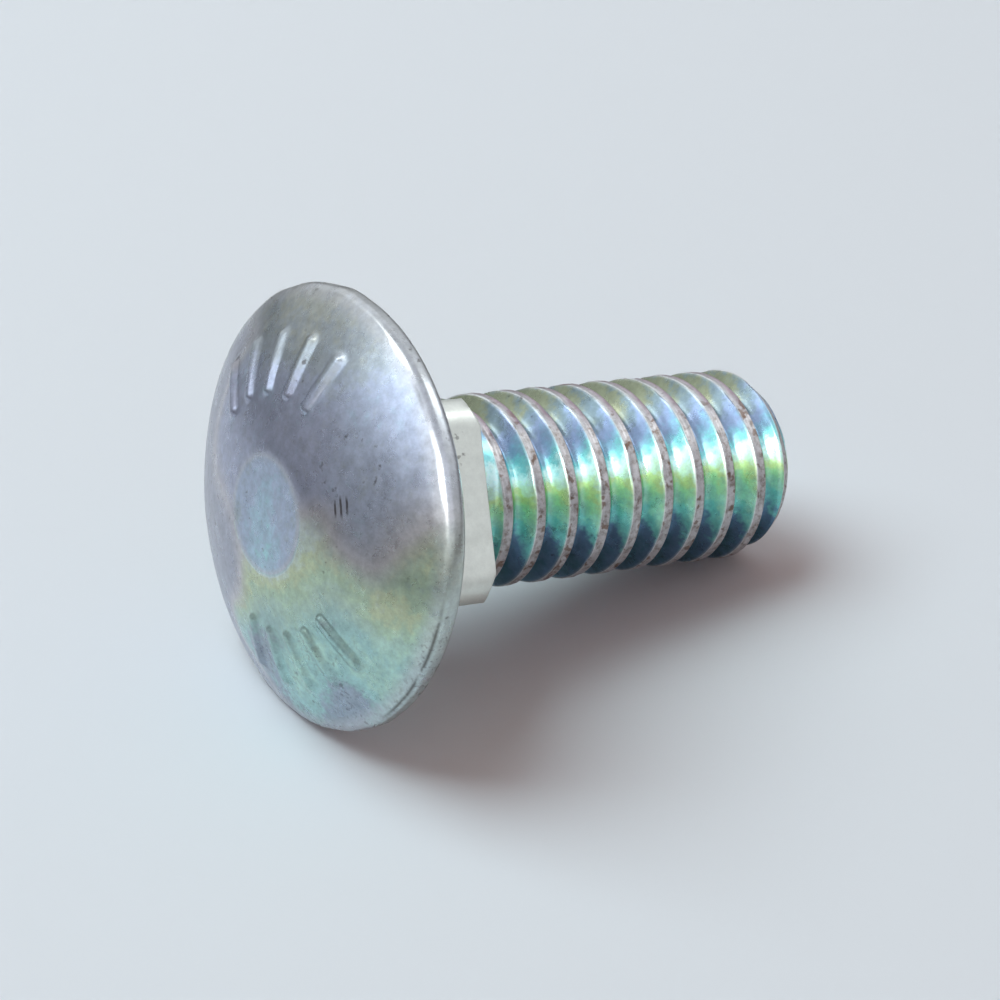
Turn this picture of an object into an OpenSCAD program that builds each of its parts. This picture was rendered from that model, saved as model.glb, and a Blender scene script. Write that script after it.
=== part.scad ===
// Carriage bolt with a low domed head, a square neck and a full-length rolled thread.
// It lies on the floor as it comes to rest, on the rim of its head and on the last thread crest.
// Each solid is drawn upright about the bolt's own axis: the head seat is at z = 0,
// the dome is below it and the shank rises towards +z. Then the whole bolt is laid down.

/* [Head] */
// Diameter of the head at its widest
head_d = 14.1; // [12:0.1:16]
// Radius of the dome's ball
dome_r = 12; // [10:0.5:16]
// Height of the straight rim's upper end above the seat
edge_h = 0.5; // [0.45:0.05:1]
// Radius that rounds the rim into the seat
seat_round = 0.35; // [0.1:0.05:0.45]
// Radius that rounds the rim into the dome
edge_round = 0.35; // [0.1:0.05:0.6]
// Diameter of the flat that the upsetting punch leaves on the crown
crown_flat_d = 4; // [1:0.5:6]

/* [Square neck] */
// Width of the neck across its flats
neck_w = 6.45; // [6.4:0.05:7.2]
// Length of the neck from the seat
neck_l = 3.4; // [2.6:0.1:4.5]
// Radius of the four long corners
neck_corner_r = 0.85; // [0.2:0.05:1]
// How far the corners are bevelled at the thread end
neck_bevel = 0.25; // [0.1:0.05:0.8]
// Angle of the neck about the bolt's axis
neck_turn = 58; // [0:1:89]
// How far the neck was pressed off the bolt's axis
neck_off = 0.28; // [0:0.02:0.4]
// Direction in which it lies off the axis
neck_off_turn = 327; // [0:1:359]

/* [Thread] */
// Length of the bolt from the seat to its end
shank_l = 15.9; // [12:0.1:30]
// Major diameter of the thread
thread_d = 6.3; // [6.1:0.05:6.35]
// Distance between crests
pitch = 1.27; // [1:0.01:1.4]
// Width of the flat crest
crest_w = 0.33; // [0.2:0.01:0.4]
// Width of the root
root_w = 0.16; // [0.1:0.01:0.2]
// Diameter of the plain blank beside the neck
blank_d = 5.72; // [5.6:0.02:5.8]
// Angle at which the ridge of the thread starts beside the neck
ridge_start = 125; // [0:5:355]
// Turn of the whole thread about the axis
thread_turn = 14; // [0:1:359]
// Length of the tapered point
point_l = 0.65; // [0.4:0.05:1.2]
// How far the point tapers in at its end
point_depth = 0.42; // [0.2:0.02:0.6]
// Radius of the edge round the end face
end_round = 0.15; // [0.05:0.01:0.3]

/* [Hidden] */
zinc = [0.74, 0.78, 0.82];
round_fn = 120;
small_fn = 32;
eps = 0.01;

head_r = head_d / 2;
crown_r = crown_flat_d / 2;
thread_r = thread_d / 2;
blank_r = blank_d / 2;
end_r = thread_r - point_depth;
point_z = shank_l - point_l;

// The dome is a ball cut flat at the crown. It touches the rounding of the rim without an edge,
// which sets the height of its middle and the point where ball and rounding meet.
round_r = head_r - edge_round;
dome_z = edge_h - sqrt(pow(dome_r - edge_round, 2) - round_r * round_r);
meet_turn = asin(round_r / (dome_r - edge_round));
meet_r = dome_r * sin(meet_turn);
meet_z = dome_z + dome_r * cos(meet_turn);
head_h = dome_z + sqrt(dome_r * dome_r - crown_r * crown_r);

// The thread is a 60 degree form, so each flank leans 30 degrees.
flank_lean = tan(30);
root_depth = (pitch - crest_w - root_w) / 2 / flank_lean;
root_r = thread_r - root_depth;
cut_over = 0.12;
cut_back = 0.2;
steps_per_turn = 48;
ridge_blend = 70;
depth_blend = 150;
fade_in = 60;
turn_back = 355;

// Rest: the rim's rounding and the last full crest on the bottom line touch the floor.
crest_bottom = neck_l - pitch * thread_turn / 360;
crest_turns = floor((point_z + crest_w / 2 - crest_bottom) / pitch);
touch_z = min(point_z, crest_bottom + crest_turns * pitch + crest_w / 2);
touch_run = touch_z + seat_round;
touch_rise = head_r - seat_round - thread_r;
rest_tilt = atan2(touch_rise, touch_run) + asin(seat_round / norm([touch_run, touch_rise]));
rest_h = seat_round + (head_r - seat_round) * cos(rest_tilt) - seat_round * sin(rest_tilt);
dome_x = -dome_z * cos(rest_tilt) - dome_r;
end_x = (shank_l - end_round) * cos(rest_tilt) + (end_r - end_round) * sin(rest_tilt) + end_round;
middle_x = (dome_x + end_x) / 2;

// Shares from 0 to 1 with a soft start and end.
function clamp01(v) = max(0, min(1, v));
function soft(v) = let (c = clamp01(v)) c * c * (3 - 2 * c);
function mix(a, b, v) = a + (b - a) * v;

// Height of the groove's centre line at an unwrapped angle.
function groove_z(t) = neck_l + pitch * ((t - thread_turn) / 360 + 0.5);

// The groove starts most of a turn before the ridge, so that the two never share a turn.
first_angle = ridge_start + ridge_blend - turn_back;

// The groove's section at an unwrapped angle: root towards the head, root towards the end,
// then the two mouth corners. Before the ridge starts, the cut is a shallow one down to the
// blank and reaches back past the end of the neck.
function groove_section(t) =
    let (
        back_z = neck_l - cut_back,
        mouth_r = thread_r + cut_over,
        sunk = soft((t - first_angle) / fade_in),
        deep = soft((t - ridge_start + depth_blend / 2) / depth_blend),
        ridge = soft((t - ridge_start) / ridge_blend),
        r = mix(mouth_r - eps, mix(blank_r, root_r, deep), sunk),
        half_root = root_w / 2 + (r - root_r) * flank_lean,
        half_mouth = root_w / 2 + (mouth_r - root_r) * flank_lean,
        z = groove_z(t)
    )
    [
        [r, mix(back_z, max(back_z, z - half_root), ridge)],
        [r, z + half_root],
        [mouth_r, z + half_mouth],
        [mouth_r, mix(back_z, max(back_z, z - half_mouth), ridge)]
    ];

module dome_profile() {
    intersection() {
        translate([0, dome_z]) circle(r = dome_r, $fn = 2 * round_fn);
        translate([0, meet_z - eps]) square([meet_r, head_h - meet_z + eps]);
    }
}

module rim_profile() {
    polygon([
        [0, 0], [head_r - seat_round, 0], [head_r, seat_round],
        [head_r, edge_h], [meet_r, meet_z], [0, meet_z]
    ]);
    translate([head_r - seat_round, seat_round]) circle(r = seat_round, $fn = small_fn);
    translate([round_r, edge_h]) circle(r = edge_round, $fn = small_fn);
}

module head() {
    mirror([0, 0, 1]) rotate_extrude($fn = round_fn) {
        dome_profile();
        rim_profile();
    }
}

// A square with round corners, as one bar each way and a disc in each corner.
module neck_outline() {
    inner_w = neck_w - 2 * neck_corner_r;
    square([neck_w, inner_w], center = true);
    square([inner_w, neck_w], center = true);
    for (x = [-1, 1], y = [-1, 1])
        translate([x * inner_w / 2, y * inner_w / 2]) circle(r = neck_corner_r, $fn = small_fn);
}

module neck() {
    reach = (neck_w / 2 - neck_corner_r) * sqrt(2) + neck_corner_r;
    over = 1;
    translate([neck_off * cos(neck_off_turn), neck_off * sin(neck_off_turn), 0]) intersection() {
        rotate(neck_turn) translate([0, 0, -eps]) linear_extrude(neck_l + eps) neck_outline();
        rotate_extrude($fn = round_fn) polygon([
            [0, -over], [reach + over, -over], [reach + over, neck_l - neck_bevel - over],
            [reach, neck_l - neck_bevel], [reach - neck_bevel, neck_l], [0, neck_l]
        ]);
    }
}

module shank_blank() {
    rotate_extrude($fn = round_fn) {
        polygon([
            [0, neck_l - eps], [thread_r, neck_l - eps], [thread_r, point_z],
            [end_r, shank_l - end_round],
            [end_r - end_round, shank_l], [0, shank_l]
        ]);
        translate([end_r - end_round, shank_l - end_round]) circle(r = end_round, $fn = small_fn);
    }
}

// The groove is one section carried round the helix, from beside the neck to past the end.
module thread_groove() {
    turns = (shank_l + pitch - groove_z(first_angle)) / pitch;
    count = ceil(turns * steps_per_turn);
    points = [
        for (i = [0:count])
            let (t = first_angle + i * 360 / steps_per_turn)
            for (p = groove_section(t)) [p[0] * cos(t), p[0] * sin(t), p[1]]
    ];
    sides = [
        for (i = [0:count - 1], j = [0:3])
            let (k = (j + 1) % 4, a = 4 * i + j, b = a + 4, c = 4 * i + k + 4, d = 4 * i + k)
            each [[a, b, c], [a, c, d]]
    ];
    last = 4 * count;
    ends = [[0, 1, 2], [0, 2, 3], [last + 2, last + 1, last], [last + 3, last + 2, last]];
    polyhedron(points, concat(sides, ends));
}

module threaded_shank() {
    difference() {
        shank_blank();
        thread_groove();
    }
}

module carriage_bolt() {
    color(zinc)
        translate([-middle_x, 0, rest_h])
        rotate([0, 90 + rest_tilt, 0]) {
            head();
            neck();
            threaded_shank();
        }
}

carriage_bolt();
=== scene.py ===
# %% [markdown]
# # A zinc-plated carriage bolt
#
# A carriage bolt is made from one length of wire. A punch upsets the domed head and
# presses the square neck, then two flat dies roll the thread into the shank. Zinc plating
# and a thin clear film on it give the bluish shine with its faint rainbow of colours.
#
# The bolt is one surface here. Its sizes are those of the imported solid, in millimetres, so
# the surface lies where the solid does, and each step below makes one stretch of it.

import bpy
import numpy as np
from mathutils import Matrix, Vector


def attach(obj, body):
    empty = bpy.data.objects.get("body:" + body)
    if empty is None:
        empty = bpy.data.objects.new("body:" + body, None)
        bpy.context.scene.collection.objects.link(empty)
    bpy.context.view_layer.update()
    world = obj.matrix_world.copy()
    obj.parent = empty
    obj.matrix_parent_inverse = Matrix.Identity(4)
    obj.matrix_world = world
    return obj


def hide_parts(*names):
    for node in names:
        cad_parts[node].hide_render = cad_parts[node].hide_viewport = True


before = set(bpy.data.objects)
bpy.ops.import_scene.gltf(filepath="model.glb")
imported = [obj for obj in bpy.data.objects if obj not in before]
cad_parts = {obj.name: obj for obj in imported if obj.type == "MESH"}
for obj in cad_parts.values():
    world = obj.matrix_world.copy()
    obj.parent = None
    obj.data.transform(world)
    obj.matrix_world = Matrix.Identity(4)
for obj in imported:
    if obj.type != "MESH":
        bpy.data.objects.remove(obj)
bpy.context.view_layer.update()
print("nodes:", list(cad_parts))


# %% [markdown]
# ## The camera
#
# The bolt is small and the view is a close one with little perspective, as a long lens
# gives. The camera is set from the bolt's own shape: the outline of the rim, the slope of
# the crests and the thread's taper towards the end fix its direction and its distance.

# %% Camera
MM = 0.001
view_heading = np.radians(32.635)
view_rise = np.radians(34.62)
view_distance = 130
aim = np.array([-2.234, -2.738, 7.019])
view_axis = np.array(
    [
        np.cos(view_rise) * np.sin(view_heading),
        np.cos(view_rise) * np.cos(view_heading),
        -np.sin(view_rise),
    ]
)
camera_data = bpy.data.cameras.new("camera")
camera_data.lens = 149.4
camera_data.sensor_width = 36
camera_data.clip_start = 0.01
camera_data.clip_end = 10
camera = bpy.data.objects.new("camera", camera_data)
bpy.context.collection.objects.link(camera)
camera.location = Vector((aim - view_distance * view_axis) * MM)
camera.rotation_mode = "QUATERNION"
camera.rotation_quaternion = Vector(view_axis).to_track_quat("-Z", "Y")
bpy.context.scene.camera = camera
print("camera at", [round(v * 1000, 1) for v in camera.location], "mm")


# %% [markdown]
# ## Sizes
#
# These are the solid's own values. The seat under the head is at z = 0, the dome is below
# it and the shank rises towards +z. The last cell of the shape lays the bolt down.

# %% Sizes in millimetres
head_r, dome_r, edge_h, edge_round = 7.05, 12, 0.5, 0.35
seat_round, crown_r = 0.35, 2.0
neck_half, neck_l, neck_corner_r, neck_bevel, neck_turn = 3.225, 3.4, 0.85, 0.25, 58
neck_off, neck_off_turn = 0.28, 327
shank_l, thread_r, pitch = 15.9, 3.15, 1.27
crest_w, root_w, blank_r = 0.33, 0.16, 2.86
ridge_start, thread_turn = 125, 14
point_l, point_depth, end_round = 0.65, 0.42, 0.15
cut_over, cut_back = 0.12, 0.2
ridge_blend, depth_blend, fade_in, turn_back = 70, 150, 60, 355
flank_lean = np.tan(np.radians(30))
root_r = thread_r - (pitch - crest_w - root_w) / 2 / flank_lean
mouth_r = thread_r + cut_over
end_r = thread_r - point_depth
point_z = shank_l - point_l
columns = 256
angle = np.arange(columns) * 360 / columns
print("thread from", round(root_r, 3), "to", thread_r, "mm radius, in", columns, "columns")


# %% [markdown]
# ## Soft steps and smooth bumps
#
# Most edges on a forged and rolled part are soft. A step that starts and ends gently is
# 3v² - 2v³. Dents come from a sum of a few sine waves with fixed random directions.

# %% Helpers for soft forms
rng = np.random.default_rng(5)


def soft(v):
    """Share from 0 to 1 with a soft start and end: 3v² - 2v³."""
    v = np.clip(v, 0, 1)
    return v * v * (3 - 2 * v)


def mix(a, b, share):
    """a at share 0 and b at share 1."""
    return a + (b - a) * share


def waves(x, y, z, length, count=14):
    """A sum of sine waves of about one length in mm, with random directions, from about -1 to 1."""
    way = rng.normal(size=(count, 3))
    way /= np.linalg.norm(way, axis=1)[:, None]
    size = 2 * np.pi / (length * rng.uniform(0.7, 1.5, count))
    start = rng.uniform(0, 2 * np.pi, count)
    flat = np.stack([x, y, z], -1)[..., None, :] * way
    return np.sin(flat.sum(-1) * size + start).sum(-1) / np.sqrt(count)


# %% [markdown]
# ## The head
#
# The dome is a shallow ball with a flat in the middle, where the punch pressed. It rolls
# over into a thin round rim, and the rim into the flat seat. A profile turned about the
# axis makes it: one radius and one height for each row.

# %% Head profile
round_r = head_r - edge_round
dome_z = edge_h - np.sqrt((dome_r - edge_round) ** 2 - round_r**2)
meet_turn = np.arcsin(round_r / (dome_r - edge_round))
meet_r = dome_r * np.sin(meet_turn)
head_h = dome_z + np.sqrt(dome_r**2 - crown_r**2)
crown_blend, crown_lift = 0.03, 0.005


def dome_row(radius):
    """Height of the dome at a radius: the lower of flat crown and ball, softly joined."""
    ball = dome_z + np.sqrt(dome_r**2 - radius**2)
    gap = head_h - ball
    return head_h - 0.5 * (gap + np.sqrt(gap**2 + crown_blend**2)) + crown_lift


dome_radii = np.concatenate(
    [
        np.linspace(0.02, 1.7, 9),
        np.linspace(1.85, 3.1, 9),
        np.linspace(3.17, 6.3, 50),
        np.linspace(6.37, meet_r, 8),
    ]
)
knuckle = np.linspace(meet_turn, np.pi / 2, 11)[1:]
seat_turn = np.linspace(0, np.pi / 2, 10)
head_radii = np.concatenate(
    [
        dome_radii,
        round_r + edge_round * np.sin(knuckle),
        head_r - seat_round + seat_round * np.cos(seat_turn),
    ]
)
head_heights = -np.concatenate(
    [
        dome_row(dome_radii),
        edge_h + edge_round * np.cos(knuckle),
        seat_round - seat_round * np.sin(seat_turn),
    ]
)
print("head:", len(head_radii), "rows,", round(float(head_h), 2), "mm high")


# %% [markdown]
# ## Raised bars on the head
#
# The dome carries low plain bars in two arcs, five above the crown and five below it. Each
# bar is the set of points near a short line, so its height depends only on the distance
# from that line, with a soft flank.

# %% Raised bars
up_turn = 151.3
upper_turns = up_turn + np.array([-33, -17, 0, 17, 33])
lower_turns = up_turn + 180 + np.array([-30, -15, 0, 15, 30])
bar_turns = np.concatenate([upper_turns, lower_turns])
bar_height, bar_half, bar_flank = 0.15, 0.08, 0.2
bar_inner, bar_outer = 3.9, 5.5


def bars(x, y):
    """Height of the raised bars: full within half a width of a line, then a soft fall."""
    turn = np.radians(bar_turns)
    way = np.stack([np.cos(turn), np.sin(turn)], -1)
    along = np.clip(x[..., None] * way[:, 0] + y[..., None] * way[:, 1], bar_inner, bar_outer)
    away = np.hypot(x[..., None] - along * way[:, 0], y[..., None] - along * way[:, 1])
    return bar_height * soft(1 - (away.min(-1) - bar_half) / bar_flank)


# %% [markdown]
# ## The square neck
#
# The neck stops the bolt from turning in wood. Seen along the axis it is a square with
# round corners. At each angle a ray from the axis meets either a flat or a corner arc, and
# a cone trims the corners at the thread end.

# %% Neck outline
neck_in = neck_half - neck_corner_r
neck_reach = neck_in * np.sqrt(2) + neck_corner_r


def square(turn):
    """Radius of the round-cornered square at an angle: half / cos a on a flat, else the arc."""
    a = np.radians(np.abs((turn - neck_turn + 45) % 90 - 45))
    on_flat = neck_half / np.cos(a)
    c, s = np.cos(a), np.sin(a)
    under_root = neck_corner_r**2 - neck_in**2 * (1 - 2 * c * s)
    arc = neck_in * (c + s) + np.sqrt(np.maximum(under_root, 0))
    return np.where(neck_half * np.tan(a) <= neck_in, on_flat, arc)


outline = square(angle)
fillet = 0.16
seat_share = np.linspace(1, 0, 7)[1:-1, None]
seat_rows = mix(outline + fillet, head_r - seat_round, seat_share)
bend = np.linspace(0, np.pi / 2, 6)[:, None]
bend_rows = outline + fillet * (1 - np.sin(bend))
bevel_z = neck_l - neck_bevel
bevel_steps = bevel_z + neck_bevel * np.linspace(0.06, 0.9, 9)
side_z = np.concatenate([np.linspace(fillet, bevel_z, 10)[1:], bevel_steps])
side_rows = np.minimum(outline, neck_reach - np.maximum(side_z[:, None] - bevel_z, 0))
top = side_rows[-1]
print("neck:", round(outline.min() * 2, 2), "to", round(outline.max() * 2, 2), "mm across")


# %% [markdown]
# ## The thread
#
# Rolling presses a groove into the shank and lets the metal flow up between its turns. So
# the thread is the groove, taken from a plain rod: at each angle the groove is a V, and the
# crests of the rolling dies leave its root round. It comes in beside the neck as a shallow
# cut down to the plain blank, where the ridge starts and grows to its full height within a
# part of a turn.

# %% Groove
first_angle = ridge_start + ridge_blend - turn_back
back_z = neck_l - cut_back
root_blend, mouth_shift = 0.6, 0.054
root_drop, floor_blend, crest_blend = 0.03, 0.06, 0.035


def higher(a, b, blend_by):
    """The higher of a and b, joined without an edge: (a + b + √((a - b)² + blend²)) / 2."""
    return 0.5 * (a + b + np.sqrt((a - b) ** 2 + blend_by**2))


def groove_z(t):
    """Height of the groove's middle at an unwrapped angle: one pitch for each turn."""
    return neck_l + pitch * ((t - thread_turn) / 360 + 0.5)


def cut(t, z):
    """Radius that one turn of the groove leaves at height z: its bottom or the higher side."""
    sunk = soft((t - first_angle) / fade_in)
    deep = soft((t - ridge_start + depth_blend / 2) / depth_blend)
    ridge = soft((t - ridge_start) / ridge_blend)
    floor_r = mix(mouth_r, mix(blank_r, root_r, deep), sunk)
    half_root = root_w / 2 + (floor_r - root_r) * flank_lean
    half_mouth = root_w / 2 + (mouth_r - root_r) * flank_lean
    middle = groove_z(t)
    low_root = mix(back_z, np.maximum(back_z, middle - half_root), ridge)
    low_mouth = mix(back_z, np.maximum(back_z, middle - half_mouth), ridge)
    end_side = floor_r + (z - middle - half_root) / flank_lean
    slope = (mouth_r - floor_r) / np.maximum(low_root - low_mouth, 1e-6)
    head_side = floor_r + (low_root - z) * slope
    round_v = higher(end_side, head_side, root_blend) - mouth_shift
    cut_r = higher(floor_r - root_drop, round_v, floor_blend)
    return np.where(t < first_angle, mouth_r, cut_r)


def rod(z):
    """Radius of the plain rod: full, then the cone of the point, with a round edge at the end."""
    cone = thread_r - np.maximum(z - point_z, 0) * point_depth / (point_l - end_round)
    inside = np.clip((z - (shank_l - end_round)) / end_round, 0, 1)
    edge = end_r - end_round + end_round * np.sqrt(1 - inside**2)
    return np.where(z > shank_l - end_round, edge, cone)


def thread(turn, z):
    """Radius of the threaded shank: the rod or the deepest cut, with softened crest edges."""
    turns = range(-1, int(shank_l / pitch) + 1)
    grooved = np.min([cut(turn + 360 * k, z) for k in turns], axis=0)
    gap = rod(z) - grooved
    return grooved + 0.5 * (gap - np.sqrt(gap**2 + crest_blend**2)), gap


# %% [markdown]
# The rows of the grid follow the helix, so that each crest and each root keeps one row all
# the way round. Rows are close together at the edges of the crest and the root. After one
# full turn a row joins the row that starts one pitch further on. Rows that would run past
# the neck or the end are held at that plane, and points that fall together are merged.

# %% Rows of the thread
half_rows = np.array([0.07, 0.12, 0.15, 0.18, 0.22, 0.29, 0.37, 0.44, 0.51, 0.575])
phase = np.concatenate([-half_rows[::-1], [0], half_rows, [pitch / 2]])
per_turn = len(phase)
crest_zero = neck_l - pitch * thread_turn / 360
first_turn, last_turn = -3, int((shank_l - neck_l) / pitch) + 2
starts = crest_zero + pitch * np.arange(first_turn, last_turn + 1)
helix_z = (starts[:, None] + phase).ravel()
row_z = helix_z[:, None] + pitch * angle / 360
snap = 0.012
row_z = np.where(row_z < neck_l + snap, neck_l, row_z)
row_z = np.where(row_z > shank_l - snap, shank_l, row_z)
thread_radii, crest_gap = thread(np.broadcast_to(angle, row_z.shape), row_z)
phase_grid = np.broadcast_to(np.tile(phase, len(starts))[:, None], row_z.shape)
print("thread:", row_z.shape[0], "rows,", per_turn, "to a turn")


# %% [markdown]
# ## One closed surface
#
# The stretches are joined row by row: head, seat, neck, thread and end face. Points are
# merged where they fall together, and a four-sided face that lost one corner becomes a
# triangle. Every edge should then belong to exactly two faces.

# %% Join the rows
start_r = thread_radii[0]
plane_share = np.array([0.12, 0.4, 0.7, 0.93])[:, None]
inner_top = top - 0.06
end_share = np.array([0.96, 0.8, 0.55, 0.3, 0.05])
end_dish = 0.02
wide = np.ones(columns)
off_share = np.concatenate(
    [
        np.zeros(len(head_radii)),
        1 - seat_share[:, 0],
        np.ones(len(bend) + len(side_z) + 1),
        1 - plane_share[:, 0],
        np.zeros(len(thread_radii) + len(end_share)),
    ]
)[:, None]
neck_end = mix(inner_top, start_r, plane_share)
before_r = np.vstack(
    [
        head_radii[:, None] * wide,
        seat_rows,
        bend_rows,
        side_rows,
        inner_top[None],
        neck_end,
    ]
)
before_z = np.vstack(
    [
        head_heights[:, None] * wide,
        0 * seat_rows,
        fillet * (1 - np.cos(bend)) * wide,
        side_z[:, None] * wide,
        neck_l * wide[None],
        neck_l + 0 * neck_end,
    ]
)
end_rim = thread_radii[-1]
after_r = end_share[:, None] * end_rim
after_z = shank_l - end_dish * (1 - end_share[:, None] ** 4) * wide
grid_r = np.vstack([before_r, thread_radii, after_r])
grid_z = np.vstack([before_z, row_z, after_z])
grid_turn = np.broadcast_to(np.radians(angle), grid_r.shape)
n_before, n_thread = len(before_r), len(thread_radii)
print("stacked:", len(grid_r), "rows of", columns, "points")


# %% [markdown]
# Each face joins a point with its neighbour and with the two above them. In the thread the
# last column's neighbour lies one pitch further on, so there the row jumps by a full turn.

# %% Faces of the grid
row = np.arange(len(grid_r) - 1)[:, None]
col = np.arange(columns)[None, :]
index = row * columns + col
across = row * columns + (col + 1) % columns
in_thread = (row >= n_before) & (row < n_before + n_thread - 1)
last_column = in_thread & (col == columns - 1)
shift = np.where(last_column, per_turn, 0) * columns
far = (n_before + n_thread - 1) * columns
above = across + columns
low_right = np.where(last_column, np.minimum(across + shift, far), across)
high_right = np.where(last_column, np.minimum(above + shift, far), above)
quads = np.stack([index, low_right, high_right, index + columns], -1).reshape(-1, 4)
print("grid:", grid_r.shape, "points,", len(quads), "faces before merging")


# %% [markdown]
# Dents and wear differ from stretch to stretch, so arrays of true and false say what each
# row belongs to. Two more hold how far a point of the thread is from the middle of its crest,
# and how deep it lies under the plain rod.

# %% Which row belongs to what
rows_all = np.arange(len(grid_r))[:, None]
on_dome = rows_all < len(dome_radii)
on_head = rows_all < len(head_radii)
on_thread = (rows_all >= n_before) & (rows_all < n_before + n_thread)
neck_first = len(head_radii) + len(seat_rows)
on_neck = (rows_all >= neck_first) & (rows_all < neck_first + len(bend_rows) + len(side_rows))
phase_all = np.full_like(grid_r, pitch / 2)
phase_all[n_before : n_before + n_thread] = phase_grid
gap_all = np.ones_like(grid_r)
gap_all[n_before : n_before + n_thread] = crest_gap
print("rows: head", int(on_head.sum()), "neck", int(on_neck.sum()), "thread", int(on_thread.sum()))


# %% [markdown]
# ## Dents and bruises
#
# The dome has a few shallow dents, about 3 mm from one to the next. They could be sculpted,
# which is hard to repeat, or be a bump in the material, which doesn't bend the outline. So
# the sine waves move the points themselves, by about a hundredth of a millimetre. The bars
# are raised in the same step.

# %% Bars and dents on the head
dent_depth, ripple_depth, rim_depth = 0.012, 0.0015, 0.012
x = grid_r * np.cos(grid_turn)
y = grid_r * np.sin(grid_turn)
raised = np.where(on_dome, bars(x, y), 0)
dents = dent_depth * waves(x, y, grid_z, 3.2) + ripple_depth * waves(x, y, grid_z, 0.9)
dents = np.where(on_dome & (grid_r > 0.1), dents * soft((head_r - grid_r) / 0.8), 0)
grid_z = grid_z - raised + dents
rim_bruise = rim_depth * waves(x, y, grid_z, 1.3)
grid_r = grid_r + np.where(on_head & ~on_dome & (grid_z < -0.1), rim_bruise, 0)
print("raised bars up to", round(float(raised.max()), 3), "mm")


# %% [markdown]
# Crests are bruised where bolts lie loose in a box, and a rolled crest has a faint dip along
# its middle, where the metal flowed up from both sides. The flats of the neck keep traces of
# the die. Then the neck, and a part of what joins it, move off the axis.

# %% Bruises on the crests, traces on the neck
dip_depth, bruise_depth, trace_depth = 0.03, 0.02, 0.004
crest_edge_w, still_crest = 0.05, 0.05
crest = soft(0.5 + (crest_w / 2 - np.abs(phase_all)) / crest_edge_w) * (gap_all < still_crest)
crest = np.where(on_thread, crest, 0)
away_from_ends = soft((grid_z - neck_l) / 0.3) * soft((shank_l - grid_z) / 0.3)
dip = dip_depth * (1 - soft(np.abs(phase_all) / 0.12))
bruise = bruise_depth * np.maximum(waves(x, y, grid_z, 0.8), 0) ** 2
grid_r = grid_r - crest * (dip + bruise) * away_from_ends
neck_trace = trace_depth * waves(x, y, grid_z * 0.3, 0.7)
neck_trace = neck_trace * soft(grid_z / 0.4) * soft((neck_l - grid_z) / 0.3)
grid_r = grid_r + np.where(on_neck, neck_trace, 0)
x = grid_r * np.cos(grid_turn) + off_share * neck_off * np.cos(np.radians(neck_off_turn))
y = grid_r * np.sin(grid_turn) + off_share * neck_off * np.sin(np.radians(neck_off_turn))
print("bruises up to", round(float((crest * bruise).max()), 3), "mm deep")


# %% [markdown]
# ## Laid down to rest
#
# On a flat floor the bolt touches with the rim of its head and with the last full crest.
# The line that touches both circles gives the tilt, as it does for the solid.

# %% Lay it down
crest_turns = np.floor((point_z + crest_w / 2 - crest_zero) / pitch)
touch_z = min(point_z, crest_zero + crest_turns * pitch + crest_w / 2)
run, climb = touch_z + seat_round, head_r - seat_round - thread_r
tilt = np.arctan2(climb, run) + np.arcsin(seat_round / np.hypot(run, climb))
ct, st = np.cos(tilt), np.sin(tilt)
rest_h = seat_round + (head_r - seat_round) * ct - seat_round * st
end_x = (shank_l - end_round) * ct + (end_r - end_round) * st + end_round
middle_x = ((-dome_z * ct - dome_r) + end_x) / 2


def laid(px, py, pz):
    """Frame place in metres of a point of the upright bolt: turned by 90 degrees plus the tilt."""
    return np.stack([pz * ct - px * st - middle_x, py, -pz * st - px * ct + rest_h], -1) * MM


print("tilt", round(float(np.degrees(tilt)), 3), "degrees, seat at", round(float(rest_h), 3), "mm")


# %% [markdown]
# ## Where the finish differs
#
# The clear film on the zinc is thinner than a wavelength of light and drained to one side
# while it dried, so its colour changes across the bolt. A number on each point carries how
# thick it is, and on the thread also where a painted highlight and painted shade fall.
# Others carry how strong the colour is, where the crests are worn, and how matte the
# plating is. The shader reads them as attributes. On the head the film comes in four
# patches, and its strength falls to nothing where one patch meets the next, so that no
# colours in between show there. A warm darkening lies over the lower patch as painted
# shade, and a lilac tint over the upper and the far one, away from the brim. Fine grime
# gathers low on the head.

# %% Film on the head
def towards(turn):
    """Share of the head's radius that a point lies out in the direction of an angle in degrees."""
    return (x * np.cos(np.radians(turn)) + y * np.sin(np.radians(turn))) / head_r


def patch(share, inner_film, inner_strength, film_and_light, strength):
    """Lays one patch of film over what is there: its own above share 0.5, no strength at 0.5."""
    film_and_light = np.where(share > 0.5, inner_film, film_and_light)
    strength = np.where(share > 0.5, inner_strength, strength) * np.abs(2 * share - 1)
    return film_and_light, strength


far_turn = 57.6
far_film, head_share, far_share, crown_share = 0.88, 0.52, 0.36, 0.6
brim_from, brim_width = 6.4, 0.5
from_axis = np.hypot(x, y)
drained = towards(up_turn) + 0.10 * waves(x, y, grid_z, 6.0) + 0.04 * waves(x, y, grid_z, 2.6)
upper_film = np.interp(drained, [-0.2, 0.2, 0.5, 0.8, 1], [0.2, 0.19, 0.22, 0.08, 0.03])
lower_film = np.interp(drained, [-1, -0.75, -0.5, -0.35, -0.2], [0.84, 0.77, 0.72, 0.6, 0.52])
lower_film = lower_film + 0.06 * waves(x, y, grid_z, 3.4)
lower = soft((0.12 - drained) / 0.34)
far_side = soft((towards(far_turn) - 0.3 + 0.1 * waves(x, y, grid_z, 4.5)) / 0.2)
crown = soft((crown_r + 0.05 - from_axis) / 0.3)
crown_film = 0.2 + 0.05 * waves(x, y, grid_z, 3.0)
head_film, head_strength = patch(lower, lower_film, head_share, upper_film, head_share)
head_film, head_strength = patch(far_side, far_film, far_share, head_film, head_strength)
head_film, head_strength = patch(crown, crown_film, crown_share, head_film, head_strength)
brim = soft((from_axis - brim_from) / brim_width)
head_strength = head_strength * (1 - 0.6 * brim)
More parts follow.
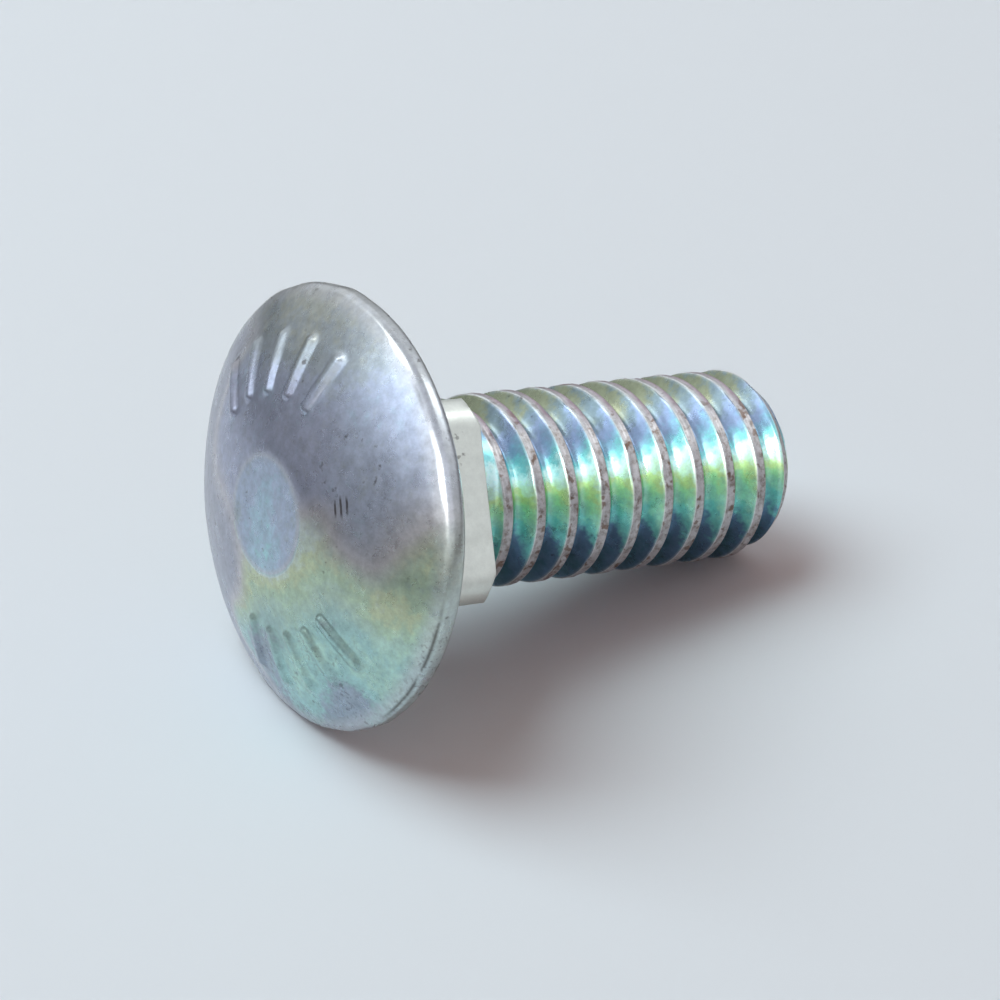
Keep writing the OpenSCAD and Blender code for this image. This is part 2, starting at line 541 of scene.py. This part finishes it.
print("film on the head:", round(float(head_film.min()), 2), "to", round(float(head_film.max()), 2))


# %% [markdown]
# The film ramp alone would need a stop for each shade of the head. Two broad tints over it do
# the same with less, and they leave the thread's colours as they are. The warm one darkens
# the lower patch as painted shade.

# %% Tints and grime on the head
# Painted shade: this share darkens the lower patch of the head with a warm tint.
warm_shade = lower * soft((drained + 0.65) / 0.35) * (1 - far_side)
lilac = np.maximum((1 - lower) * soft((0.8 - drained) / 0.4), far_side)
lilac = lilac * (1 - 0.7 * soft((-towards(far_turn) - 0.35) / 0.3))
dome_only = np.where(on_head, (1 - crown) * (1 - brim), 0)
warm_shade, lilac = warm_shade * dome_only, lilac * dome_only
grime = np.where(on_head, soft((-0.35 - drained) / 0.35), 0)
print("warm and lilac up to", round(float(warm_shade.max()), 2), round(float(lilac.max()), 2))


# %% [markdown]
# On the thread the film ran round to one side, so its thickness follows the cosine of the
# angle, and deep in the groove it runs ahead a little. The same value also places painted
# light: through the ramp's palest colours a highlight band about a quarter turn from the
# thinnest film, and through its darkest ones painted shade on the side opposite the
# thinnest film. The crests have hardly any film left.

# %% Film on the thread, and where it is worn or matte
thin_turn = 147.6
thread_drain = 0.5 - 0.5 * np.cos(grid_turn - np.radians(thin_turn))
depth = np.clip((thread_r - grid_r) / (thread_r - root_r), 0, 1)
deep_share = np.where(on_thread, depth, 0)
spread = 0.13 * np.tanh((thread_drain - 0.47) / 0.1) * (deep_share - 0.4)
# This angle also places painted light through the ramp: a highlight band and shade on the
# underside.
thread_film_and_light = thread_drain - 0.025 + spread + 0.015 * waves(x, y, grid_z, 2.0)
film_and_light = np.where(on_head, head_film, thread_film_and_light)
strength = np.where(on_thread, 1.0, np.where(on_head, head_strength, 0.12)) * (1 - 0.85 * crest)
matte = np.where(on_neck, 1.0, np.where(on_head | on_thread, 0.0, 0.6)) * np.ones_like(grid_r)
worn = crest * (0.4 + 0.6 * soft((thread_drain - 0.08) / 0.2))
end_side = np.where(on_thread, soft(0.5 + phase_all / 0.3), 0)
# Painted shade along the raised bars' flanks, strongest halfway up each flank.
bar_flank_shade = 4 * (raised / bar_height) * (1 - raised / bar_height)
print("film from", round(float(film_and_light.min()), 2), "to", round(float(film_and_light.max()), 2))


# %% [markdown]
# The punch leaves a thin seam on the rounding between dome and rim. Over a part of the turn
# dirt sits in it, so it shows as a dark broken line. Its place is a slope of the surface and
# a range of angles.

# %% Seam and rim
seam_slope, seam_width = 52, 9
seam_from, seam_to = 262, 314
turn_deg = np.degrees(grid_turn)
slope = np.degrees(np.arctan2(grid_r - round_r, -grid_z - edge_h))
in_turn = soft((turn_deg - seam_from) / 14) * soft((seam_to - turn_deg) / 12)
on_knuckle = on_head & ~on_dome & (grid_z < -edge_h)
flash = np.where(on_knuckle, np.exp(-(((slope - seam_slope) / seam_width) ** 2)) * in_turn, 0)
rim = np.where(on_head, soft((grid_z + edge_h + 0.12) / 0.12) * soft(-grid_z / 0.1), 0)
print("points on the rim:", int((rim > 0.5).sum()), "on the seam:", int((flash > 0.5).sum()))


# %% [markdown]
# ## The mesh
#
# All the points are laid down at once, and those that fall together within a hundred
# thousandth of a millimetre become one. Blender's own merge by distance would do it too, but
# the order of the points has to be known here, since the finish values follow it.

# %% Merge the points
points = laid(x, y, grid_z).reshape(-1, 3)
keys = np.round(points * 1e8).astype(np.int64)
_, first, back = np.unique(keys, axis=0, return_index=True, return_inverse=True)
back = back.reshape(-1)
faces = back[quads]
same = faces == np.roll(faces, -1, axis=1)
whole = faces[same.sum(1) == 0]
one = same.sum(1) == 1
keep_corner = ~same[one]
triangles = faces[one][keep_corner].reshape(-1, 3)


def closed_fan(ring_row, centre):
    """Triangles from a row of points to one centre: two neighbours and the centre each."""
    ring = back[ring_row * columns + np.arange(columns)]
    return np.stack([ring, np.roll(ring, -1), np.full(columns, centre)], -1)


apex = len(first)
tail = apex + 1
head_fan = closed_fan(0, apex)[:, ::-1]
tail_fan = closed_fan(len(grid_r) - 1, tail)
poles = laid(np.zeros(2), np.zeros(2), np.array([-head_h, shank_l - end_dish]))
vertices = np.vstack([points[first], poles])
triangles = np.vstack([triangles, head_fan, tail_fan])
corners = np.concatenate([whole.ravel(), triangles.ravel()])
counts = np.concatenate([np.full(len(whole), 4), np.full(len(triangles), 3)])
loop_starts = np.concatenate([[0], np.cumsum(counts)[:-1]])
print("merged:", len(points), "points into", len(first))


# %% [markdown]
# foreach_set hands a whole array to Blender at once, which is much quicker than adding faces
# one by one. The corners of all faces stand in one long list, and each face says where in
# that list its own corners start.

# %% Build the mesh
bolt_mesh = bpy.data.meshes.new("bolt_surface")
bolt_mesh.vertices.add(len(vertices))
bolt_mesh.vertices.foreach_set("co", vertices.ravel())
bolt_mesh.loops.add(len(corners))
bolt_mesh.loops.foreach_set("vertex_index", corners.astype(np.int32))
bolt_mesh.polygons.add(len(counts))
bolt_mesh.polygons.foreach_set("loop_start", loop_starts.astype(np.int32))
bolt_mesh.update(calc_edges=True)
changed = bolt_mesh.validate()
bolt_mesh.shade_smooth()
print("bolt:", len(vertices), "points,", int((counts - 2).sum()), "triangles; repaired:", changed)


# %% [markdown]
# A closed surface has exactly two faces at each edge. Blender can select edges that have
# not, but a count of how often each pair of neighbouring corners comes up says it in a line.

# %% Check that it is closed
next_corners = np.concatenate([np.roll(whole, -1, 1).ravel(), np.roll(triangles, -1, 1).ravel()])
ends = np.sort(np.stack([corners, next_corners], -1), axis=1)
_, uses = np.unique(ends, axis=0, return_counts=True)
print("edges that don't have two faces:", int((uses != 2).sum()))


# %% [markdown]
# A number per point is called an attribute. It could be painted by hand, but these follow
# from the shape, so they are worked out with it. Each pole gets a value of its own.

# %% Store the finish values
def store(name, grid, apex_value, tail_value):
    """Puts one number on each point of the mesh, in the merged order."""
    values = np.concatenate([grid.reshape(-1)[first], [apex_value, tail_value]]).astype(np.float32)
    bolt_mesh.attributes.new(name, "FLOAT", "POINT").data.foreach_set("value", values)


store("film_and_light", film_and_light, film_and_light[0].mean(), film_and_light[-1].mean())
store("strength", strength, 0.6, 0.2)
store("matte", matte, 0, 0.6)
store("worn", worn, 0, 0)
store("deep", deep_share, 0, 0)
store("bar_flank_shade", bar_flank_shade, 0, 0)
store("rim", rim, 0, 0)
store("warm_shade", warm_shade, 0, 0)
store("lilac", lilac, 0, 0)
store("grime", grime, 0, 0)
store("flash", flash, 0, 0)
store("end_side", end_side, 0, 0)
bolt = bpy.data.objects.new("bolt", bolt_mesh)
bpy.context.collection.objects.link(bolt)
print("attributes:", [a.name for a in bolt_mesh.attributes if a.data_type == "FLOAT"])


# %% [markdown]
# ## Zinc plate with its thin film
#
# Light that reflects from the top and from the bottom of the film adds up for some colours
# and cancels for others. The order of the colours with growing thickness is the same
# everywhere, so one colour ramp holds them, and the stored value picks the place. The ramp
# also holds painted light: its palest stops paint a highlight band on the thread, and its
# darkest stops are darkened as painted shade for the thread's underside. Zinc is a metal,
# so all of it goes into the base colour.

# %% Colours
def colour(red, green, blue):
    """Linear colour from screen values of 0 to 255."""
    v = np.array([red, green, blue]) / 255
    return tuple(np.where(v <= 0.04045, v / 12.92, ((v + 0.055) / 1.055) ** 2.4)) + (1.0,)


# Painted light: 0.42 and 0.47 are a painted highlight, 0.86 and 1.00 are painted shade.
film_and_light_colours = [
    (0.00, (148, 156, 131)),
    (0.10, (128, 148, 156)),
    (0.20, (150, 170, 202)),
    (0.28, (146, 186, 210)),
    (0.35, (143, 219, 222)),
    (0.42, (213, 252, 250)),
    (0.47, (206, 246, 224)),
    (0.53, (198, 234, 168)),
    (0.60, (168, 230, 184)),
    (0.66, (160, 224, 198)),
    (0.76, (120, 202, 194)),
    (0.86, (94, 126, 156)),
    (1.00, (70, 112, 126)),
]
bare_zinc = colour(198, 200, 204)
worn_zinc, dirty_zinc = colour(190, 188, 190), colour(134, 124, 118)
matte_zinc, rim_painted_shade = colour(224, 229, 222), colour(158, 163, 160)
warm_shade_tint, lilac_tint = colour(150, 110, 80), colour(140, 112, 150)
painted_glint_edge, pink_edge = colour(236, 240, 240), colour(142, 104, 122)
rust, pit = colour(104, 70, 44), colour(62, 52, 46)
# The first colour is grime on the head and painted shade on the raised bars' flanks; the second is
# painted shade deep in the grooves.
dirt_and_flank_shade, shade = colour(84, 78, 84), colour(60, 66, 78)
print("colours of the film:", len(film_and_light_colours))


# %% [markdown]
# A material is a net of small nodes. The helpers below make one node each and join it to
# what it reads, so that the recipe further down reads like a sum. They write into the net
# that nodes and links point at.

# %% Helpers for nodes
zinc = bpy.data.materials.new("zinc_plate")
zinc.use_nodes = True
nodes, links = zinc.node_tree.nodes, zinc.node_tree.links
shader = nodes["Principled BSDF"]
place = nodes.new("ShaderNodeTexCoord").outputs["Object"]


def attribute(name):
    """Node that reads one stored number."""
    node = nodes.new("ShaderNodeAttribute")
    node.attribute_name = name
    return node.outputs["Fac"]


def math(kind, a, b=0.0, clamp=False):
    """One arithmetic node; a and b are sockets or numbers."""
    node = nodes.new("ShaderNodeMath")
    node.operation = kind
    node.use_clamp = clamp
    for socket, value in zip(node.inputs, (a, b)):
        if isinstance(value, (int, float)):
            socket.default_value = value
        else:
            links.new(value, socket)
    return node.outputs[0]


def vector(kind, a, b=None):
    """One vector node; a is a socket, and b is three numbers, or a socket where a is scaled."""
    node = nodes.new("ShaderNodeVectorMath")
    node.operation = kind
    links.new(a, node.inputs[0])
    if kind == "SCALE":
        links.new(b, node.inputs["Scale"])
    elif b is not None:
        node.inputs[1].default_value = b
    return node.outputs["Value" if kind in ("LENGTH", "DOT_PRODUCT") else "Vector"]


def noise(scale, detail=3.0, roughness=0.55):
    """Noise value over object coordinates; scale is in lumps per metre."""
    node = nodes.new("ShaderNodeTexNoise")
    node.inputs["Scale"].default_value = scale
    node.inputs["Detail"].default_value = detail
    node.inputs["Roughness"].default_value = roughness
    links.new(place, node.inputs["Vector"])
    return node.outputs["Fac"]


def swing(scale, detail, roughness, size):
    """Noise that swings about 0, times a size."""
    return math("MULTIPLY", math("SUBTRACT", noise(scale, detail, roughness), 0.5), size)


def steps(value, low, high):
    """0 at low, 1 at high, straight between; low may be the larger one."""
    node = nodes.new("ShaderNodeMapRange")
    node.clamp = True
    node.inputs["From Min"].default_value = low
    node.inputs["From Max"].default_value = high
    links.new(value, node.inputs["Value"])
    return node.outputs[0]


def blend(share, a, b):
    """One colour-mix node: a at share 0, b at share 1; each is a socket or a value."""
    node = nodes.new("ShaderNodeMix")
    node.data_type = "RGBA"
    for name, value in (("Factor", share), ("A", a), ("B", b)):
        wanted = "VALUE" if name == "Factor" else "RGBA"
        socket = next(s for s in node.inputs if s.name == name and s.type == wanted)
        if isinstance(value, (int, float, tuple)):
            socket.default_value = value
        else:
            links.new(value, socket)
    return next(s for s in node.outputs if s.type == "RGBA")


def coat(under, share, most, over):
    """The colour under, covered by the colour over where share is 1, up to the share most."""
    return blend(math("MULTIPLY", share, most), under, over)


print("nodes so far:", len(nodes))


# %% [markdown]
# The film's stored value gets two sizes of noise, which breaks up the bands as drying does.
# Bare zinc shows where the film's strength is low. The head's two tints lie over both; the
# warm one is painted shade.

# %% Film colour
film_and_light_value = math("ADD", attribute("film_and_light"), swing(900, 4, 0.55, 0.16))
film_and_light_value = math("ADD", film_and_light_value, swing(3400, 3, 0.6, 0.2), clamp=True)
ramp = nodes.new("ShaderNodeValToRGB")
ramp.color_ramp.interpolation = "EASE"
while len(ramp.color_ramp.elements) < len(film_and_light_colours):
    ramp.color_ramp.elements.new(0.5)
for element, (at, screen) in zip(ramp.color_ramp.elements, film_and_light_colours):
    element.position = at
    element.color = colour(*screen)
links.new(film_and_light_value, ramp.inputs["Fac"])
tone = blend(attribute("strength"), bare_zinc, ramp.outputs["Color"])
# Painted shade: a warm darkening over the lower patch of the head.
tone = coat(tone, attribute("warm_shade"), 0.25, warm_shade_tint)
tone = coat(tone, attribute("lilac"), 0.2, lilac_tint)
print("colours on the film ramp:", len(ramp.color_ramp.elements))


# %% [markdown]
# Nuts and other bolts rub on the crests, which lose the film and get scuffed and grey, and
# rust starts there in small brown specks. The film is thickest along a crest's edges, which
# makes the edge away from the head pinkish; the edge towards the head gets a near-white
# painted glint.

# %% Worn crests, rim, raised bars and neck
scuffs = steps(noise(4200, 4, 0.65), 0.46, 0.68)
tone = blend(attribute("worn"), tone, blend(scuffs, worn_zinc, dirty_zinc))
half_worn = math("SUBTRACT", math("MULTIPLY", attribute("worn"), 2.0), 1.0)
crest_edge_film_and_glint = math("SUBTRACT", 1.0, math("ABSOLUTE", half_worn))
# Painted glint: a near-white line on the crest edge towards the head; the other edge is pinkish
# film.
tone = coat(tone, crest_edge_film_and_glint, 0.7, blend(attribute("end_side"), painted_glint_edge, pink_edge))
rusty = math("MULTIPLY", steps(noise(2600, 2, 0.5), 0.59, 0.64), attribute("worn"))
tone = coat(tone, rusty, 0.7, rust)
# Painted shade: the rim band of the head is coated a darker grey.
tone = coat(tone, attribute("rim"), 0.35, rim_painted_shade)
# Painted shade: the flanks of the raised bars are darkened.
tone = coat(tone, attribute("bar_flank_shade"), 0.22, dirt_and_flank_shade)
tone = blend(attribute("matte"), tone, matte_zinc)
# Painted shade: the deepest part of each groove is darkened.
tone = coat(tone, math("POWER", attribute("deep"), 3.0), 0.15, shade)


# %% [markdown]
# The head has dirt in its seam, pits, fine grime and three short scratches. Pits come in
# crowds: fine noise makes them and coarse noise says where, with more of them on the rim and
# round the scratches. Each scratch is one stroke of a sine wave, kept to a small ragged spot.

# %% Seam, pits, grime and scratches
scratch_place = np.array([-8.22, -3.15, 9.23]) * MM
scratch_gap = 0.19 * MM
spot_in, spot_out, crowd_in, crowd_out = 0.00045, 0.00062, 0.001, 0.0032
from_scratch = vector("SUBTRACT", place, tuple(scratch_place))
scratch_far = vector("LENGTH", from_scratch)
across_scratch = vector("DOT_PRODUCT", from_scratch, (0.84, -0.54, 0.05))

gaps = steps(noise(1300, 3, 0.6), 0.4, 0.5)
tone = coat(tone, math("MULTIPLY", attribute("flash"), gaps), 0.8, pit)

pits = steps(noise(3000, 3, 0.6), 0.63, 0.72)
crowd = math("ADD", noise(420, 2), math("MULTIPLY", attribute("rim"), 0.1))
crowd = math("SUBTRACT", crowd, math("MULTIPLY", attribute("matte"), 0.08))
crowd = math("ADD", crowd, math("MULTIPLY", steps(scratch_far, crowd_out, crowd_in), 0.12))
tone = coat(tone, math("MULTIPLY", pits, steps(crowd, 0.5, 0.62)), 0.65, pit)

grains, heaps = steps(noise(6500, 3, 0.65), 0.54, 0.66), steps(noise(650, 2), 0.42, 0.6)
grime_share = math("MULTIPLY", math("MULTIPLY", grains, heaps), attribute("grime"))
tone = coat(tone, grime_share, 0.55, dirt_and_flank_shade)

wobble = math("MULTIPLY", noise(1500, 2), 3.0)
strokes = math("ADD", math("MULTIPLY", across_scratch, 2 * np.pi / scratch_gap), wobble)
ragged = math("ADD", scratch_far, math("MULTIPLY", noise(3000, 2), 0.0004))
near_scratch = math("SUBTRACT", 1.0, steps(ragged, spot_in, spot_out))
scratch = math("MULTIPLY", steps(math("SINE", strokes), 0.1, 0.8), near_scratch)
tone = coat(tone, scratch, 0.8, pit)
print("seam, pits, grime and scratches:", len(nodes), "nodes so far")


# %% [markdown]
# Plated steel is never one even tone. A cloudy factor near 1 makes the metal lighter and
# darker. The same kind of noise changes how rough it is, and a very low bump makes the
# reflections ripple. The neck is rougher than the rest, and so are the worn crests.

# %% Clouds, roughness and bump
cloud_range = math("SUBTRACT", 0.95, math("MULTIPLY", attribute("matte"), 0.6))
cloud_noise = math("SUBTRACT", noise(2800, 4, 0.8), 0.5)
cloud = math("ADD", 1.0, math("MULTIPLY", cloud_noise, cloud_range))
links.new(vector("SCALE", tone, cloud), shader.inputs["Base Color"])
shader.inputs["Metallic"].default_value = 0.8

rough = math("ADD", 0.29, math("MULTIPLY", attribute("matte"), 0.13))
rough = math("ADD", rough, math("MULTIPLY", attribute("worn"), 0.12))
links.new(math("ADD", rough, swing(1500, 4, 0.55, 0.2)), shader.inputs["Roughness"])

bump_height = 0.02 * MM
bump = nodes.new("ShaderNodeBump")
bump.inputs["Strength"].default_value = 0.2
bump.inputs["Distance"].default_value = bump_height
links.new(noise(2600, 3, 0.5), bump.inputs["Height"])
links.new(bump.outputs["Normal"], shader.inputs["Normal"])
bolt_mesh.materials.append(zinc)
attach(bolt, "root")
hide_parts("carriage_bolt")
print("material:", zinc.name, len(nodes), "nodes")


# %% [markdown]
# ## Floor
#
# The bolt lies on a plain pale bluish surface. It is wide, so that the metal reflects it
# everywhere below the horizon. A pale floor all round would light the underside too much, so
# for rays that come from a reflection it turns dark a few centimetres out.

# %% Floor
floor_half = 1.5
pale_to, dark_from = 0.032, 0.06
pale, dark = colour(214, 220, 229), colour(84, 84, 90)
square_signs = ((-1, -1), (1, -1), (1, 1), (-1, 1))
floor_corners = [(a * floor_half, b * floor_half, 0) for a, b in square_signs]
floor_mesh = bpy.data.meshes.new("floor")
floor_mesh.from_pydata(floor_corners, [], [(0, 1, 2, 3)])
floor = bpy.data.objects.new("floor", floor_mesh)
bpy.context.collection.objects.link(floor)
floor_material = bpy.data.materials.new("pale_floor")
floor_material.use_nodes = True
nodes, links = floor_material.node_tree.nodes, floor_material.node_tree.links
floor_shader = nodes["Principled BSDF"]
reach = vector("LENGTH", nodes.new("ShaderNodeTexCoord").outputs["Object"])
reflected = nodes.new("ShaderNodeLightPath").outputs["Is Glossy Ray"]
far_out = math("MULTIPLY", steps(reach, pale_to, dark_from), reflected)
links.new(blend(far_out, pale, dark), floor_shader.inputs["Base Color"])
floor_shader.inputs["Roughness"].default_value = 0.8
floor_shader.inputs["Specular IOR Level"].default_value = 0.2
floor_mesh.materials.append(floor_material)
print("floor:", 2 * floor_half, "m square")


# %% [markdown]
# ## Light
#
# A metal shows mostly what is round it, and the floor mostly what falls on it, so the two are
# lit apart. One broad lamp, high at the back on the left, lights the floor and makes the soft
# shadow. The others show in the metal alone: the same lamp as a glow, a small one in front on
# the left for the bright edge of the dome and the bright band along the thread, one on the
# right for the neck's upper corner, and a wide bluish window at the back.

# %% Lamps
lit_place = Vector((0, 0, 0.005))


def lamp(name, way, distance, width, height, power, tint, on_floor=True, in_metal=True):
    """Area lamp in the direction way from the bolt, facing it; sizes in metres."""
    data = bpy.data.lights.new(name, "AREA")
    data.shape = "RECTANGLE"
    data.size, data.size_y = width, height
    data.energy = power
    data.color = tint
    thing = bpy.data.objects.new(name, data)
    bpy.context.collection.objects.link(thing)
    way = Vector(way).normalized()
    thing.location = lit_place + way * distance
    thing.rotation_mode = "QUATERNION"
    thing.rotation_quaternion = (-way).to_track_quat("-Z", "Y")
    thing.visible_diffuse = on_floor
    thing.visible_glossy = in_metal
    return thing


lamp("high_lamp", (-0.335, 0.387, 0.859), 0.5, 0.38, 0.38, 2.44, (0.82, 0.99, 1.0), in_metal=False)
lamp("high_glow", (-0.40, 0.35, 0.85), 0.5, 0.18, 0.18, 0.36, (1.0, 1.0, 0.97), on_floor=False)
lamp("front_lamp", (-0.70, -0.42, 0.58), 0.5, 0.13, 0.13, 0.98, (1.0, 0.99, 0.94), on_floor=False)
lamp("right_window", (0.75, -0.13, 0.64), 0.5, 0.10, 0.20, 0.28, (0.97, 1.0, 0.97), on_floor=False)
lamp("back_window", (-0.75, 0.28, 0.60), 0.6, 0.36, 0.16, 0.30, (0.80, 0.90, 1.0), on_floor=False)


# %% [markdown]
# The room itself is two gradients over the height of the direction. The side that the dome
# faces is dark up to about 25 degrees, which makes the dark band across the head, and the
# other side is a pale wall. Rough surfaces get one dim reddish fill instead, which sets how
# deep the shadow is. The camera sees a plain pale background past the floor.

# %% Room
world = bpy.data.worlds.new("room")
bpy.context.scene.world = world
world.use_nodes = True
nodes, links = world.node_tree.nodes, world.node_tree.links
background = nodes["Background"]
direction = nodes.new("ShaderNodeSeparateXYZ")
links.new(nodes.new("ShaderNodeTexCoord").outputs["Generated"], direction.inputs[0])


def sky(stops):
    """Bluish greys over the height of the direction, from 0 at the horizon to 1 straight up."""
    node = nodes.new("ShaderNodeValToRGB")
    while len(node.color_ramp.elements) < len(stops):
        node.color_ramp.elements.new(0.5)
    for element, (at, value) in zip(node.color_ramp.elements, stops):
        element.position = at
        element.color = (value * 0.95, value * 0.98, value * 1.04, 1)
    links.new(direction.outputs["Z"], node.inputs["Fac"])
    return node.outputs["Color"]


dark_side = sky([(0.0, 0.27), (0.28, 0.32), (0.36, 0.34), (0.42, 0.42), (0.56, 0.75), (1.0, 0.7)])
pale_side = sky([(0.0, 0.5), (0.2, 0.75), (0.4, 0.95), (0.62, 1.25), (0.76, 0.9), (1.0, 0.7)])
looking = nodes.new("ShaderNodeTexCoord").outputs["Generated"]
turned = vector("DOT_PRODUCT", looking, (0.94, -0.34, 0))
room = blend(steps(turned, -0.82, -0.5), dark_side, pale_side)
dim_fill = (0.40, 0.29, 0.258, 1)
path = nodes.new("ShaderNodeLightPath")
filled = blend(path.outputs["Is Glossy Ray"], dim_fill, room)
links.new(blend(path.outputs["Is Camera Ray"], filled, pale), background.inputs["Color"])
background.inputs["Strength"].default_value = 1.0
bpy.context.scene.view_settings.view_transform = "Standard"
print("room:", len(nodes), "nodes")
